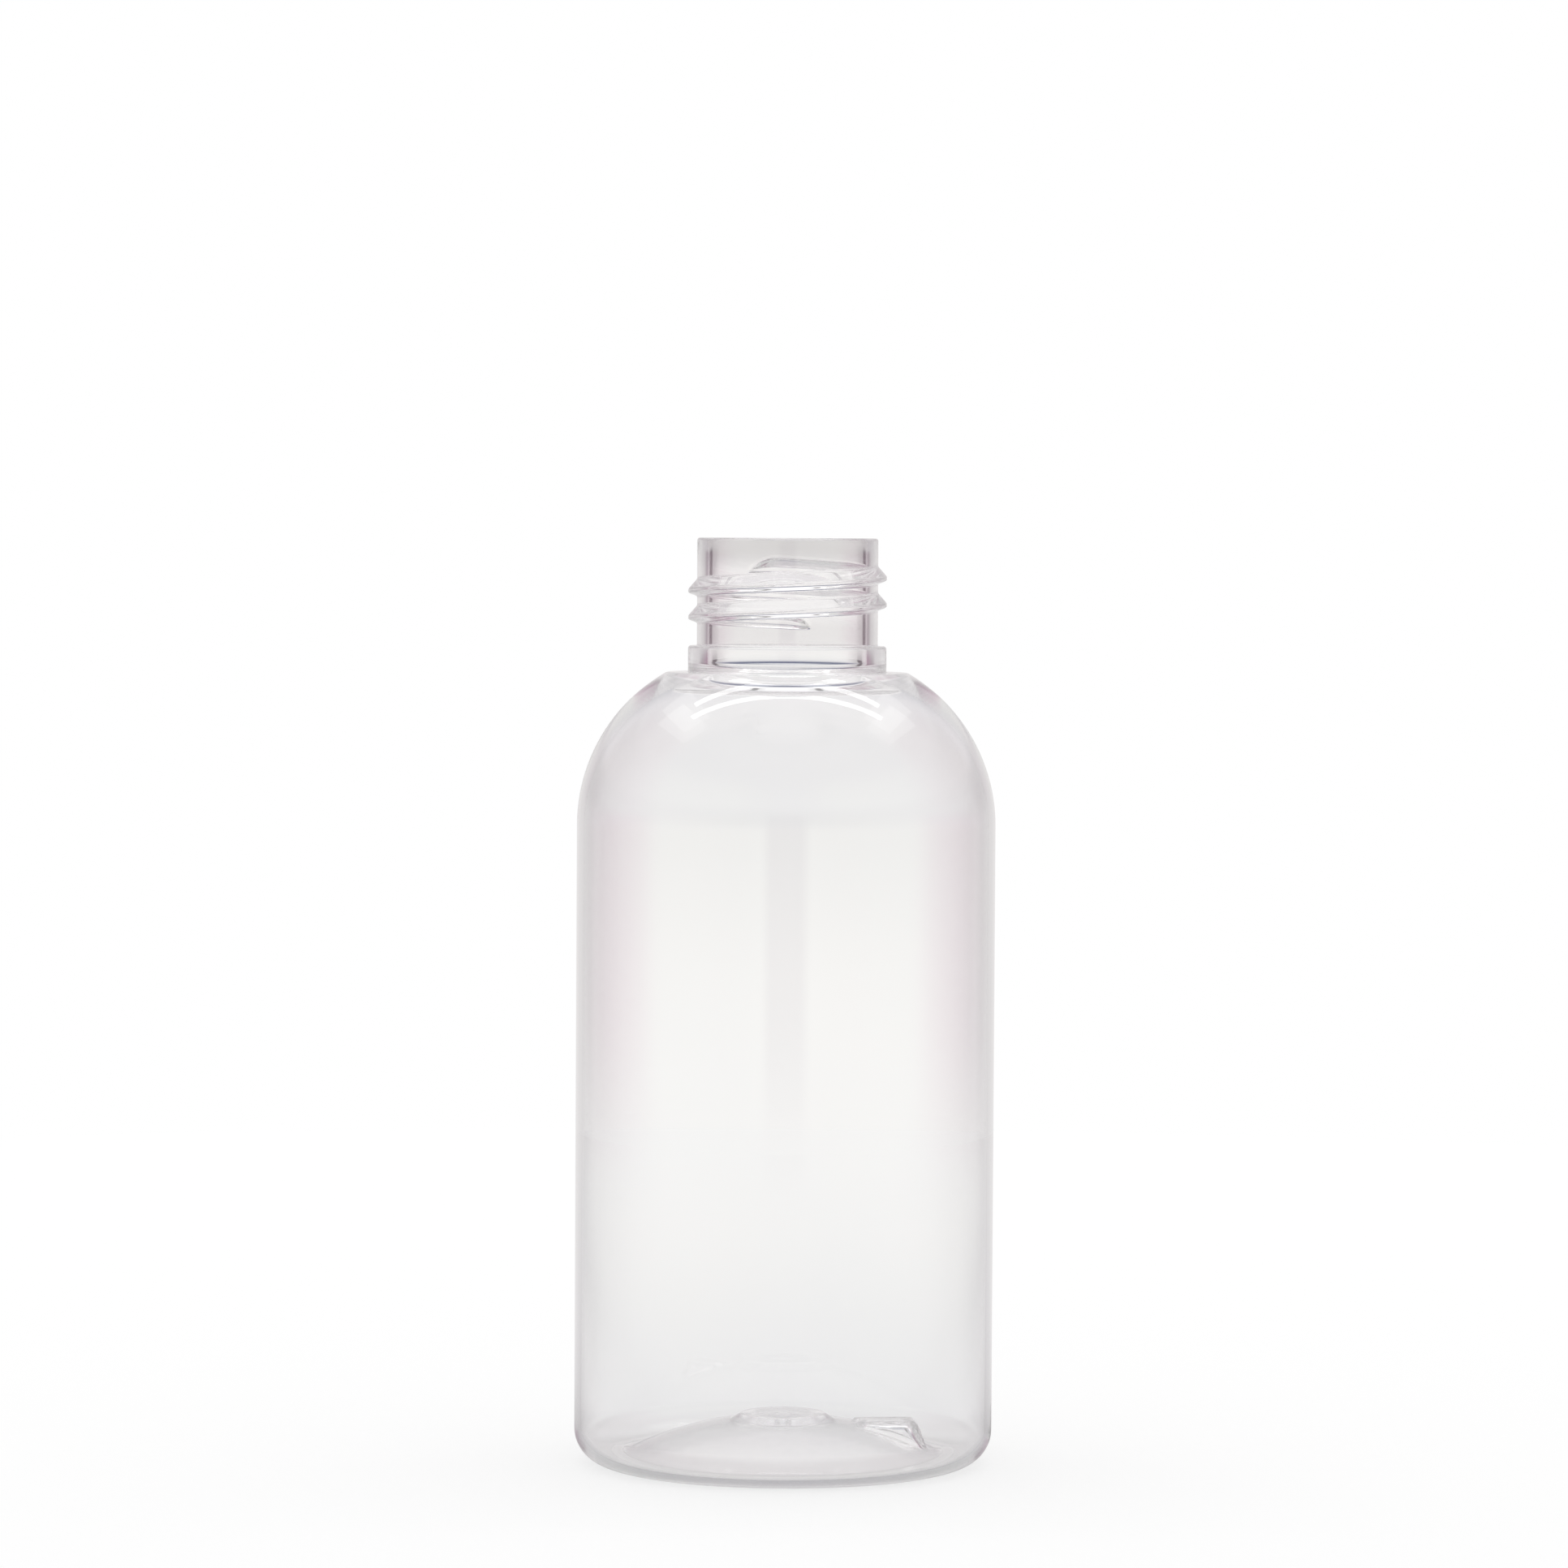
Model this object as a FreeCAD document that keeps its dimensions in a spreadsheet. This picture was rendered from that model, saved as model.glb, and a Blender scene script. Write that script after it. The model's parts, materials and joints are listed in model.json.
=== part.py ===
# Clear PET bottle, stretch blown in one piece: round body, domed shoulder, threaded neck.
# Right-hand thread over a plain bead, standing ring, push-up base with a gate recess and a
# notch that lets a filling line turn the bottle to a fixed angle.
# Millimetres. Origin in the middle of the standing ring, +Z up through the mouth.

import FreeCAD, Part
import math
import os
import re
import Sketcher

# Driving dimensions: name, value, meaning
SIZES = [
    ("overall_height", 110.75, "standing ring to rim"),
    ("body_radius", 25.0, "outside of the round body"),
    ("body_wall", 0.8, "wall of the body and heel"),
    ("heel_radius", 4.2, "outside rounding from body to standing ring"),
    ("shoulder_radius", 21.0, "outside arc of the shoulder"),
    ("shoulder_inset", 1.6, "inside arc of the shoulder is smaller by this"),
    ("ledge_width", 2.25, "flat ledge round the bead"),
    ("ledge_rounding", 1.0, "rounding from the ledge to the shoulder"),
    ("finish_height", 16.0, "rim down to the ledge"),
    ("bore_radius", 9.55, "straight bore of the neck"),
    ("bore_rise", 1.1, "lower end of the straight bore above the ledge"),
    ("bore_flare", 1.0, "rounding from the bore into the shoulder"),
    ("neck_wall", 1.25, "wall of the neck between the threads"),
    ("lip_rounding", 0.3, "rounding of both edges of the rim"),
    ("bead_width", 1.05, "bead beyond the neck"),
    ("bead_length", 3.15, "bead above the ledge"),
    ("bead_rounding", 0.35, "rounding of the bead's upper edge"),
    ("thread_crest", 1.05, "thread beyond the neck"),
    ("thread_pitch", 3.175, "rise in one turn, eight turns to the inch"),
    ("thread_top", 3.84, "rim down to the crest at the upper end"),
    ("thread_start", 76.0, "direction of the lower end, from +X towards +Y"),
    ("thread_gap", 2.4, "bead up to the crest at the lower end"),
    ("thread_fade", 12.0, "angle in which each end fades into the neck"),
    ("thread_flank_up", 1.45, "middle of the crest to the root above it"),
    ("thread_flank_down", 0.6, "middle of the crest to the root below it"),
    ("thread_land", 0.5, "width of the crest"),
    ("thread_root", 0.3, "depth of the thread inside the neck wall"),
    ("base_wall", 0.9, "wall of the base"),
    ("ring_width", 1.7, "standing ring, from the heel to the dome"),
    ("ring_rounding", 0.5, "rounding of the standing ring's inner edge"),
    ("push_up_height", 4.8, "underside of the dome above the ground"),
    ("channel_rounding", 1.5, "inside rounding at the foot of the dome"),
    ("gate_radius", 5.0, "top of the raised disc over the gate"),
    ("gate_slope", 1.2, "width of the slope round the disc"),
    ("gate_rise", 0.3, "disc above the top of the dome"),
    ("stub_radius", 1.0, "gate stub under the disc"),
    ("stub_length", 0.6, "length of the gate stub"),
    ("notch_angle", 5.0, "direction of the notch, from +X towards +Y"),
    ("notch_margin", 3.1, "outer end of the notch from the foot of the dome"),
    ("notch_length", 7.2, "notch along the radius"),
    ("notch_width", 5.2, "notch across its top"),
    ("notch_drop", 0.6, "top of the notch below the top of the dome"),
    ("notch_side_slope", 2.6, "spread of each side of the notch down to the ground"),
    ("notch_end_slope", 1.6, "spread of the notch's outer end down to the ground"),
    ("notch_wall", 0.8, "wall of the notch"),
]

# Lengths that follow from the driving dimensions and from each other
LENGTHS = {
    "ledge": "overall_height - finish_height",
    "bead_top": "ledge + bead_length",
    "neck": "bore_radius + neck_wall",
    "bead": "neck + bead_width",
    "crest": "neck + thread_crest",
    "thread_inside": "neck - thread_root",
    "thread_tip": "neck - thread_root / 3",
    "flank_top": "thread_flank_up + (thread_flank_up - thread_land / 2) * thread_root / thread_crest",
    "flank_foot": "thread_flank_down + (thread_flank_down - thread_land / 2) * thread_root / thread_crest",
    "thread_low": "bead_top + thread_gap",
    "thread_angle": "360 * (overall_height - thread_top - thread_low) / thread_pitch",
    "ledge_edge": "bead + ledge_width",
    "bore_end": "ledge + bore_rise",
    "inner_shoulder": "shoulder_radius - shoulder_inset",
    "inner_side": "body_radius - body_wall",
    "inner_heel": "heel_radius - body_wall",
    "dome_foot": "body_radius - heel_radius - ring_width",
    "dome": "(dome_foot^2 + push_up_height^2) / (2 * push_up_height)",
    "dome_depth": "dome - push_up_height",
    "inner_dome": "dome + base_wall",
    "disc_foot": "gate_radius + gate_slope",
    "disc_top": "push_up_height + base_wall + gate_rise",
    "recess": "gate_radius - gate_slope",
    "recess_top": "push_up_height + gate_rise",
    "stub_end": "recess_top - stub_length",
    "notch_outer": "dome_foot - notch_margin",
    "notch_inner": "notch_outer - notch_length",
    "notch_top": "push_up_height + base_wall - notch_drop",
}

ORIGIN = (-1, 1)
AXIS_LINE = -2
START, END, CENTRE = 1, 2, 3
AXIS_REACH = 0.02
LEAST_CHANGE = 0.05

doc = FreeCAD.newDocument("boston_round")
sheet = doc.addObject("Spreadsheet::Sheet", "sizes")
for row, (alias, value, meaning) in enumerate(SIZES, start=1):
    sheet.set(f"A{row}", meaning)
    sheet.set(f"B{row}", str(value))
    sheet.setAlias(f"B{row}", alias)
doc.recompute()

body = doc.addObject("PartDesign::Body", "bottle")
body.Label = "bottle"


def formula_of(text):
    """The sheet's formula for an expression in the names of sizes and lengths."""

    def cell(match):
        name = match.group()
        if name in LENGTHS:
            return f"({formula_of(LENGTHS[name])})"
        return f"sizes.{name}"

    return re.sub("[a-z]+(_[a-z]+)*", cell, text)


def value_of(text):
    return float(body.evalExpression(formula_of(text)))


def new_sketch(name, role):
    sketch = body.newObject("Sketcher::SketchObject", name)
    plane = next(item for item in body.Origin.OriginFeatures if item.Role == role)
    sketch.AttachmentSupport = [(plane, "")]
    sketch.MapMode = "FlatFace"
    return sketch


def place_sketch(sketch, spin_axis, angle, lift="0"):
    """Turns a sketch about the bottle's axis and lifts it off its plane."""
    sketch.AttachmentOffset = FreeCAD.Placement(
        FreeCAD.Vector(0, 0, value_of(lift)),
        FreeCAD.Rotation(FreeCAD.Vector(*spin_axis), value_of(angle)),
    )
    sketch.setExpression(".AttachmentOffset.Rotation.Angle", formula_of(angle))
    sketch.setExpression(".AttachmentOffset.Base.z", formula_of(lift))


def line(sketch, x1, y1, x2, y2):
    ends = FreeCAD.Vector(x1, y1, 0), FreeCAD.Vector(x2, y2, 0)
    return sketch.addGeometry(Part.LineSegment(*ends), False)


def arc(sketch, x, y, radius, from_angle, to_angle):
    circle = Part.Circle(FreeCAD.Vector(x, y, 0), FreeCAD.Vector(0, 0, 1), radius)
    return sketch.addGeometry(Part.ArcOfCircle(circle, from_angle, to_angle), False)


def join(sketch, kind, first, first_point, second, second_point):
    sketch.addConstraint(Sketcher.Constraint(kind, first, first_point, second, second_point))


def level(sketch, *lines):
    for index in lines:
        sketch.addConstraint(Sketcher.Constraint("Horizontal", index))


def upright(sketch, *lines):
    for index in lines:
        sketch.addConstraint(Sketcher.Constraint("Vertical", index))


def bind(sketch, name, kind, refs, text):
    """A named dimension that the sheet drives."""
    index = sketch.addConstraint(Sketcher.Constraint(kind, *refs, value_of(text)))
    sketch.renameConstraint(index, name)
    sketch.setExpression(f"Constraints.{name}", formula_of(text))


def bind_radius(sketch, name, index, text):
    bind(sketch, name, "Radius", [index], text)


def bind_across(sketch, name, index, point, text):
    bind(sketch, name, "DistanceX", [*ORIGIN, index, point], text)


def bind_up(sketch, name, index, point, text):
    bind(sketch, name, "DistanceY", [*ORIGIN, index, point], text)


def bind_down(sketch, name, index, point, text):
    bind(sketch, name, "DistanceY", [index, point, *ORIGIN], text)


def bound_polygon(sketch, corners):
    """Closed run of lines whose corners are pairs of expressions."""
    points = [(value_of(across), value_of(up)) for across, up in corners]
    sides = [line(sketch, *points[i - 1], *points[i]) for i in range(len(points))]
    for i, (across, up) in enumerate(corners):
        join(sketch, "Coincident", sides[i - 1], END, sides[i], START)
        bind_across(sketch, f"across_{i}", sides[i], END, across)
        bind_up(sketch, f"up_{i}", sides[i], END, up)


def revolve(kind, name, sketch):
    feature = body.newObject(f"PartDesign::{kind}", name)
    feature.Profile = sketch
    feature.ReferenceAxis = (sketch, ["V_Axis"])
    feature.Angle = 360
    doc.recompute()


def loft(kind, name, first, last):
    feature = body.newObject(f"PartDesign::{kind}", name)
    feature.Profile = first
    feature.Sections = [last]
    feature.Ruled = True
    doc.recompute()


def round_edges(name, size_name, places):
    """Fillet on the circles about the axis that lie at these radii and heights."""
    base = body.Tip
    names = []
    for number, edge in enumerate(base.Shape.Edges, start=1):
        if not isinstance(edge.Curve, Part.Circle):
            continue
        centre = edge.Curve.Center
        for radius, z in places:
            misses = edge.Curve.Radius - value_of(radius), centre.z - value_of(z)
            if max(math.hypot(*misses), math.hypot(centre.x, centre.y)) < AXIS_REACH:
                names.append(f"Edge{number}")
    feature = body.newObject("PartDesign::Fillet", name)
    feature.Base = (base, names)
    feature.Radius = value_of(size_name)
    feature.setExpression("Radius", formula_of(size_name))
    doc.recompute()


# Outside of the bottle, from the ground up to the rim
rim = value_of("overall_height")
side = value_of("body_radius")
heel = value_of("heel_radius")
shoulder = value_of("shoulder_radius")
ledge = value_of("ledge")
ledge_edge = value_of("ledge_edge")
turn = value_of("ledge_rounding")
bead = value_of("bead")
bead_top = value_of("bead_top")
neck = value_of("neck")
shoulder_lean = math.acos((ledge_edge - side + shoulder) / (shoulder - turn))
shoulder_start = ledge - turn - (shoulder - turn) * math.sin(shoulder_lean)

outside = new_sketch("outside_outline", "XZ_Plane")
ground_line = line(outside, 0, 0, side - heel, 0)
heel_arc = arc(outside, side - heel, heel, heel, -math.pi / 2, 0)
side_line = line(outside, side, heel, side, shoulder_start)
shoulder_arc = arc(outside, side - shoulder, shoulder_start, shoulder, 0, shoulder_lean)
turn_arc = arc(outside, ledge_edge, ledge - turn, turn, shoulder_lean, math.pi / 2)
ledge_line = line(outside, ledge_edge, ledge, bead, ledge)
bead_line = line(outside, bead, ledge, bead, bead_top)
bead_top_line = line(outside, bead, bead_top, neck, bead_top)
neck_line = line(outside, neck, bead_top, neck, rim)
rim_line = line(outside, neck, rim, 0, rim)
axis_line = line(outside, 0, rim, 0, 0)
join(outside, "Coincident", ground_line, START, *ORIGIN)
join(outside, "Tangent", ground_line, END, heel_arc, START)
join(outside, "Tangent", heel_arc, END, side_line, START)
join(outside, "Tangent", side_line, END, shoulder_arc, START)
join(outside, "Tangent", shoulder_arc, END, turn_arc, START)
join(outside, "Tangent", turn_arc, END, ledge_line, START)
join(outside, "Coincident", ledge_line, END, bead_line, START)
join(outside, "Coincident", bead_line, END, bead_top_line, START)
join(outside, "Coincident", bead_top_line, END, neck_line, START)
join(outside, "Coincident", neck_line, END, rim_line, START)
join(outside, "Coincident", rim_line, END, axis_line, START)
join(outside, "Coincident", axis_line, END, ground_line, START)
level(outside, ground_line, ledge_line, bead_top_line, rim_line)
upright(outside, side_line, bead_line, neck_line, axis_line)
bind_radius(outside, "heel", heel_arc, "heel_radius")
bind_radius(outside, "shoulder", shoulder_arc, "shoulder_radius")
bind_radius(outside, "turn", turn_arc, "ledge_rounding")
bind_across(outside, "side", side_line, START, "body_radius")
bind_across(outside, "ledge_edge", ledge_line, START, "ledge_edge")
bind_across(outside, "bead", bead_line, START, "bead")
bind_across(outside, "neck", neck_line, START, "neck")
bind_up(outside, "ledge", ledge_line, END, "ledge")
bind_up(outside, "bead_top", bead_line, END, "bead_top")
bind_up(outside, "rim", rim_line, START, "overall_height")
revolve("Revolution", "outside", outside)

# Inside of the bottle, from the rim down to the raised disc over the gate
bore = value_of("bore_radius")
bore_end = value_of("bore_end")
flare = value_of("bore_flare")
inner_shoulder = value_of("inner_shoulder")
inner_side = value_of("inner_side")
inner_heel = value_of("inner_heel")
floor = value_of("base_wall")
channel = value_of("channel_rounding")
dome = value_of("dome")
dome_depth = value_of("dome_depth")
inner_dome = value_of("inner_dome")
disc = value_of("gate_radius")
disc_foot = value_of("disc_foot")
disc_top = value_of("disc_top")
flare_lean = math.acos((bore + flare - inner_side + inner_shoulder) / (inner_shoulder + flare))
inner_start = bore_end - (inner_shoulder + flare) * math.sin(flare_lean)
channel_lean = math.asin((floor + channel + dome_depth) / (inner_dome + channel))
channel_edge = (inner_dome + channel) * math.cos(channel_lean)
disc_lean = math.acos(disc_foot / inner_dome)
disc_foot_up = inner_dome * math.sin(disc_lean) - dome_depth

inside = new_sketch("inside_outline", "XZ_Plane")
mouth_line = line(inside, 0, rim, bore, rim)
bore_line = line(inside, bore, rim, bore, bore_end)
flare_arc = arc(inside, bore + flare, bore_end, flare, math.pi, math.pi + flare_lean)
inner_arc = arc(inside, inner_side - inner_shoulder, inner_start, inner_shoulder, 0, flare_lean)
inner_line = line(inside, inner_side, inner_start, inner_side, floor + inner_heel)
inner_heel_arc = arc(
    inside, inner_side - inner_heel, floor + inner_heel, inner_heel, -math.pi / 2, 0
)
channel_line = line(inside, inner_side - inner_heel, floor, channel_edge, floor)
channel_arc = arc(
    inside, channel_edge, floor + channel, channel, math.pi + channel_lean, math.pi * 3 / 2
)
inner_dome_arc = arc(inside, 0, -dome_depth, inner_dome, channel_lean, disc_lean)
disc_slope = line(inside, disc_foot, disc_foot_up, disc, disc_top)
disc_line = line(inside, disc, disc_top, 0, disc_top)
core_line = line(inside, 0, disc_top, 0, rim)
join(inside, "Coincident", mouth_line, END, bore_line, START)
join(inside, "Tangent", bore_line, END, flare_arc, START)
join(inside, "Tangent", flare_arc, END, inner_arc, END)
join(inside, "Tangent", inner_arc, START, inner_line, START)
join(inside, "Tangent", inner_line, END, inner_heel_arc, END)
join(inside, "Tangent", inner_heel_arc, START, channel_line, START)
join(inside, "Tangent", channel_line, END, channel_arc, END)
join(inside, "Tangent", channel_arc, START, inner_dome_arc, START)
join(inside, "Coincident", inner_dome_arc, END, disc_slope, START)
join(inside, "Coincident", disc_slope, END, disc_line, START)
join(inside, "Coincident", disc_line, END, core_line, START)
join(inside, "Coincident", core_line, END, mouth_line, START)
level(inside, mouth_line, channel_line, disc_line)
upright(inside, bore_line, inner_line, core_line)
inside.addConstraint(Sketcher.Constraint("PointOnObject", core_line, START, AXIS_LINE))
inside.addConstraint(Sketcher.Constraint("PointOnObject", inner_dome_arc, CENTRE, AXIS_LINE))
bind_radius(inside, "flare", flare_arc, "bore_flare")
bind_radius(inside, "shoulder", inner_arc, "inner_shoulder")
bind_radius(inside, "heel", inner_heel_arc, "inner_heel")
bind_radius(inside, "channel", channel_arc, "channel_rounding")
bind_radius(inside, "dome", inner_dome_arc, "inner_dome")
bind_across(inside, "bore", bore_line, START, "bore_radius")
bind_across(inside, "side", inner_line, START, "inner_side")
bind_across(inside, "disc_foot", disc_slope, START, "disc_foot")
bind_across(inside, "disc", disc_slope, END, "gate_radius")
bind_up(inside, "rim", mouth_line, START, "overall_height")
bind_up(inside, "bore_end", bore_line, END, "bore_end")
bind_up(inside, "floor", channel_line, START, "base_wall")
bind_up(inside, "disc_top", disc_line, END, "disc_top")
bind_down(inside, "dome_depth", inner_dome_arc, CENTRE, "dome_depth")
revolve("Groove", "inside", inside)


def notch_section(name, inset, spread, lift):
    """One level of the notch, set in by its wall and spread by its slopes."""
    sketch = new_sketch(name, "XY_Plane")
    place_sketch(sketch, (0, 0, 1), "notch_angle", lift)
    near = value_of(f"notch_inner + {inset}")
    far = value_of(f"notch_outer - {inset} + notch_end_slope * {spread}")
    half = value_of(f"notch_width / 2 - {inset} + notch_side_slope * {spread}")
    inner_end = line(sketch, near, half, near, -half)
    right = line(sketch, near, -half, far, -half)
    outer_end = line(sketch, far, -half, far, half)
    left = line(sketch, far, half, near, half)
    join(sketch, "Coincident", inner_end, END, right, START)
    join(sketch, "Coincident", right, END, outer_end, START)
    join(sketch, "Coincident", outer_end, END, left, START)
    join(sketch, "Coincident", left, END, inner_end, START)
    level(sketch, right, left)
    upright(sketch, inner_end, outer_end)
    bind_across(sketch, "near", inner_end, START, f"notch_inner + {inset}")
    bind_across(
        sketch, "far", outer_end, START, f"notch_outer - {inset} + notch_end_slope * {spread}"
    )
    half_width = f"notch_width / 2 - {inset} + notch_side_slope * {spread}"
    bind_up(sketch, "left", left, START, half_width)
    bind_down(sketch, "right", right, START, half_width)
    return sketch


# Lug of the notch, which stands on the ground until the push-up is cut
lug_foot = notch_section("lug_foot", inset="0", spread=1, lift="0")
lug_top = notch_section("lug_top", inset="0", spread=0, lift="notch_top")
loft("AdditiveLoft", "notch_lug", lug_foot, lug_top)

# Push-up under the base, with the recess and the stub of the gate
recess = value_of("recess")
recess_top = value_of("recess_top")
recess_lean = math.acos(disc / dome)
recess_foot_up = dome * math.sin(recess_lean) - dome_depth
stub = value_of("stub_radius")
stub_end = value_of("stub_end")
dome_foot = value_of("dome_foot")
foot_lean = math.acos(dome_foot / dome)

under = new_sketch("push_up_outline", "XZ_Plane")
under_ground = line(under, 0, 0, dome_foot, 0)
dome_arc = arc(under, 0, -dome_depth, dome, foot_lean, recess_lean)
recess_slope = line(under, disc, recess_foot_up, recess, recess_top)
recess_line = line(under, recess, recess_top, stub, recess_top)
stub_side = line(under, stub, recess_top, stub, stub_end)
stub_face = line(under, stub, stub_end, 0, stub_end)
under_axis = line(under, 0, stub_end, 0, 0)
join(under, "Coincident", under_ground, START, *ORIGIN)
join(under, "Coincident", under_ground, END, dome_arc, START)
join(under, "Coincident", dome_arc, END, recess_slope, START)
join(under, "Coincident", recess_slope, END, recess_line, START)
join(under, "Coincident", recess_line, END, stub_side, START)
join(under, "Coincident", stub_side, END, stub_face, START)
join(under, "Coincident", stub_face, END, under_axis, START)
join(under, "Coincident", under_axis, END, under_ground, START)
level(under, under_ground, recess_line, stub_face)
upright(under, stub_side, under_axis)
under.addConstraint(Sketcher.Constraint("PointOnObject", dome_arc, CENTRE, AXIS_LINE))
bind_radius(under, "dome", dome_arc, "dome")
bind_across(under, "recess_foot", recess_slope, START, "gate_radius")
bind_across(under, "recess", recess_slope, END, "recess")
bind_across(under, "stub", stub_side, START, "stub_radius")
bind_up(under, "recess_top", recess_line, START, "recess_top")
bind_up(under, "stub_end", stub_side, END, "stub_end")
bind_down(under, "dome_depth", dome_arc, CENTRE, "dome_depth")
revolve("Groove", "push_up", under)

# Hollow of the notch, from the ground up into its lug
pocket_foot = notch_section("pocket_foot", inset="notch_wall", spread=1, lift="0")
pocket_top = notch_section("pocket_top", inset="notch_wall", spread=0, lift="notch_top - notch_wall")
loft("SubtractiveLoft", "notch_pocket", pocket_foot, pocket_top)


def thread_section(name, along, crest):
    """Buttress section of the thread at an angle along it from the lower end."""
    sketch = new_sketch(name, "XZ_Plane")
    place_sketch(sketch, (0, 1, 0), f"thread_start + {along}")
    middle = f"thread_low + thread_pitch * ({along}) / 360"
    corners = [
        ("thread_inside", f"{middle} - flank_foot"),
        (crest, f"{middle} - thread_land / 2"),
        (crest, f"{middle} + thread_land / 2"),
        ("thread_inside", f"{middle} + flank_top"),
    ]
    bound_polygon(sketch, corners)
    return sketch


# Thread: a full ridge, and at each end a short piece that sinks into the neck
full_length = "thread_angle - thread_fade * 2"
last_full = "thread_angle - thread_fade"
first = thread_section("thread_first", "thread_fade", "crest")
first_tip = thread_section("thread_first_tip", "0", "thread_tip")
last = thread_section("thread_last", last_full, "crest")
last_tip = thread_section("thread_last_tip", "thread_angle", "thread_tip")

thread = body.newObject("PartDesign::AdditiveHelix", "thread")
thread.Profile = first
thread.ReferenceAxis = (first, ["V_Axis"])
thread.Mode = "pitch-turns-angle"
thread.Angle = 0
thread.Pitch = value_of("thread_pitch")
thread.Turns = value_of(full_length) / 360
thread.setExpression("Pitch", formula_of("thread_pitch"))
thread.setExpression("Turns", f"({formula_of(full_length)}) / 360")
doc.recompute()
loft("AdditiveLoft", "thread_lower_end", first, first_tip)
loft("AdditiveLoft", "thread_upper_end", last, last_tip)

# Edges that the mould leaves round
round_edges(
    "lip", "lip_rounding", [("neck", "overall_height"), ("bore_radius", "overall_height")]
)
round_edges("bead_edge", "bead_rounding", [("bead", "bead_top")])
round_edges("ring_edge", "ring_rounding", [("dome_foot", "0")])

for item in doc.Objects:
    if {"Invalid", "Error"} & set(item.State):
        raise RuntimeError(f"{item.Name} failed")
    if item.TypeId == "Sketcher::SketchObject" and not item.FullyConstrained:
        raise RuntimeError(f"{item.Name} is not fully constrained")
    base = getattr(item, "BaseFeature", None)
    if base and abs(item.Shape.Volume - base.Shape.Volume) < LEAST_CHANGE:
        raise RuntimeError(f"{item.Name} changes nothing")
shape = body.Shape
if shape.isNull() or not shape.isValid() or len(shape.Solids) != 1:
    raise RuntimeError(f"{body.Label} is not one sound solid")

os.makedirs("parts", exist_ok=True)
shape.exportStep(f"parts/{body.Label}.step")
print(f"{body.Label}: {shape.Volume:.0f} mm3, {len(shape.Faces)} faces")
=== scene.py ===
import json
import math

import bpy
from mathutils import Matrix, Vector


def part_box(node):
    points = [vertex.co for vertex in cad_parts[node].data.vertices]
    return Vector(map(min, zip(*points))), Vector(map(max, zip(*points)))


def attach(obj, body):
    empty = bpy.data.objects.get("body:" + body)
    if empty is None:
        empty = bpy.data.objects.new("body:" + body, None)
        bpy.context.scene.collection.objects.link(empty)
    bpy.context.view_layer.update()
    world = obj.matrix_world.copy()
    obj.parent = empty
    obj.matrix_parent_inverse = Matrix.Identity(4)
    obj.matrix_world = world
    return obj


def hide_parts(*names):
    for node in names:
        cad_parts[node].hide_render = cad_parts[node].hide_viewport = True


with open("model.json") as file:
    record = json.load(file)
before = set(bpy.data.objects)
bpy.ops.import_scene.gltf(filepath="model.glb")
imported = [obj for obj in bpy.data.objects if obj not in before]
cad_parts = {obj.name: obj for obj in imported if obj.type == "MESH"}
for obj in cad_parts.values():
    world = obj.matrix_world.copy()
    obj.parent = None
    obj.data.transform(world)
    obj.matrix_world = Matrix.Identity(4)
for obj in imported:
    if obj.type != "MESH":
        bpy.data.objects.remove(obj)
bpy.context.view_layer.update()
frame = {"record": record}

mm = 0.001
# places nearer than this, in metres, count as one
hair = 1e-6

# Sizes that the frame gives
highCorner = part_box("bottle")[1]
mounts = {mount["name"]: mount for mount in frame["record"]["mounts"]}
boreRadius = mounts["mouth_bore"]["dims"]["r_mm"] * mm
beadRadius = mounts["neck_bead"]["dims"]["r_mm"] * mm
bodyRadius = highCorner.x
height = highCorner.z


def deselectAll():
    for item in bpy.context.selected_objects:
        item.select_set(False)


def pickOnly(item):
    deselectAll()
    item.select_set(True)
    bpy.context.view_layer.objects.active = item


# Blown bottle: outline of the whole wall, spun round the axis.
# Steps are in degrees, between the points of an arc.
bottle = {
    "bodyWall": 0.8 * mm,
    "heel": 4.2 * mm,
    "shoulder": 21.0 * mm,
    "shoulderInset": 1.6 * mm,
    "ledgeWidth": 2.25 * mm,
    "ledgeRounding": 1.0 * mm,
    "finishHeight": 16.0 * mm,
    "boreRise": 1.1 * mm,
    "boreFlare": 1.0 * mm,
    "neckWall": 1.25 * mm,
    "lipRounding": 0.3 * mm,
    "beadLength": 3.15 * mm,
    "beadRounding": 0.35 * mm,
    "cornerRounding": 0.15 * mm,
    "baseWall": 0.9 * mm,
    "ringWidth": 1.7 * mm,
    "ringRounding": 0.5 * mm,
    "pushUp": 4.8 * mm,
    "channel": 1.5 * mm,
    "gateRadius": 5.0 * mm,
    "gateSlope": 1.2 * mm,
    "gateRise": 0.3 * mm,
    "stubRadius": 1.0 * mm,
    "stubLength": 0.6 * mm,
    "gateRounding": 0.4 * mm,
    "cornerStep": 18,
    "domeStep": 0.5,
    "ringStep": 15,
    "heelStep": 6,
    "shoulderStep": 2.5,
    "ledgeStep": 6,
    "flareStep": 5,
    "innerHeelStep": 7,
    "channelStep": 5,
    "spinCount": 180,
    "ringGap": 3.0 * mm,
    "weldGap": 0.002 * mm,
    "smoothAngle": 80,
}

# Thread, raised on the neck. Its start, runs and fades are in degrees round the neck.
thread = {
    "crest": 1.05 * mm,
    "pitch": 3.175 * mm,
    "top": 3.84 * mm,
    "gap": 2.4 * mm,
    "start": 76.0,
    "noseRun": 3.0,
    "tailRun": 14.0,
    "noseFade": 18.0,
    "tailFade": 24.0,
    "flankUp": 1.45 * mm,
    "flankDown": 0.6 * mm,
    "land": 0.5 * mm,
    "ringGap": 0.06 * mm,
    "softness": 0.12 * mm,
    "tipDrop": 0.35 * mm,
    "tipNarrowing": 0.6,
    "mostTurns": 4,
    "onSurface": 0.01 * mm,
}

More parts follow.
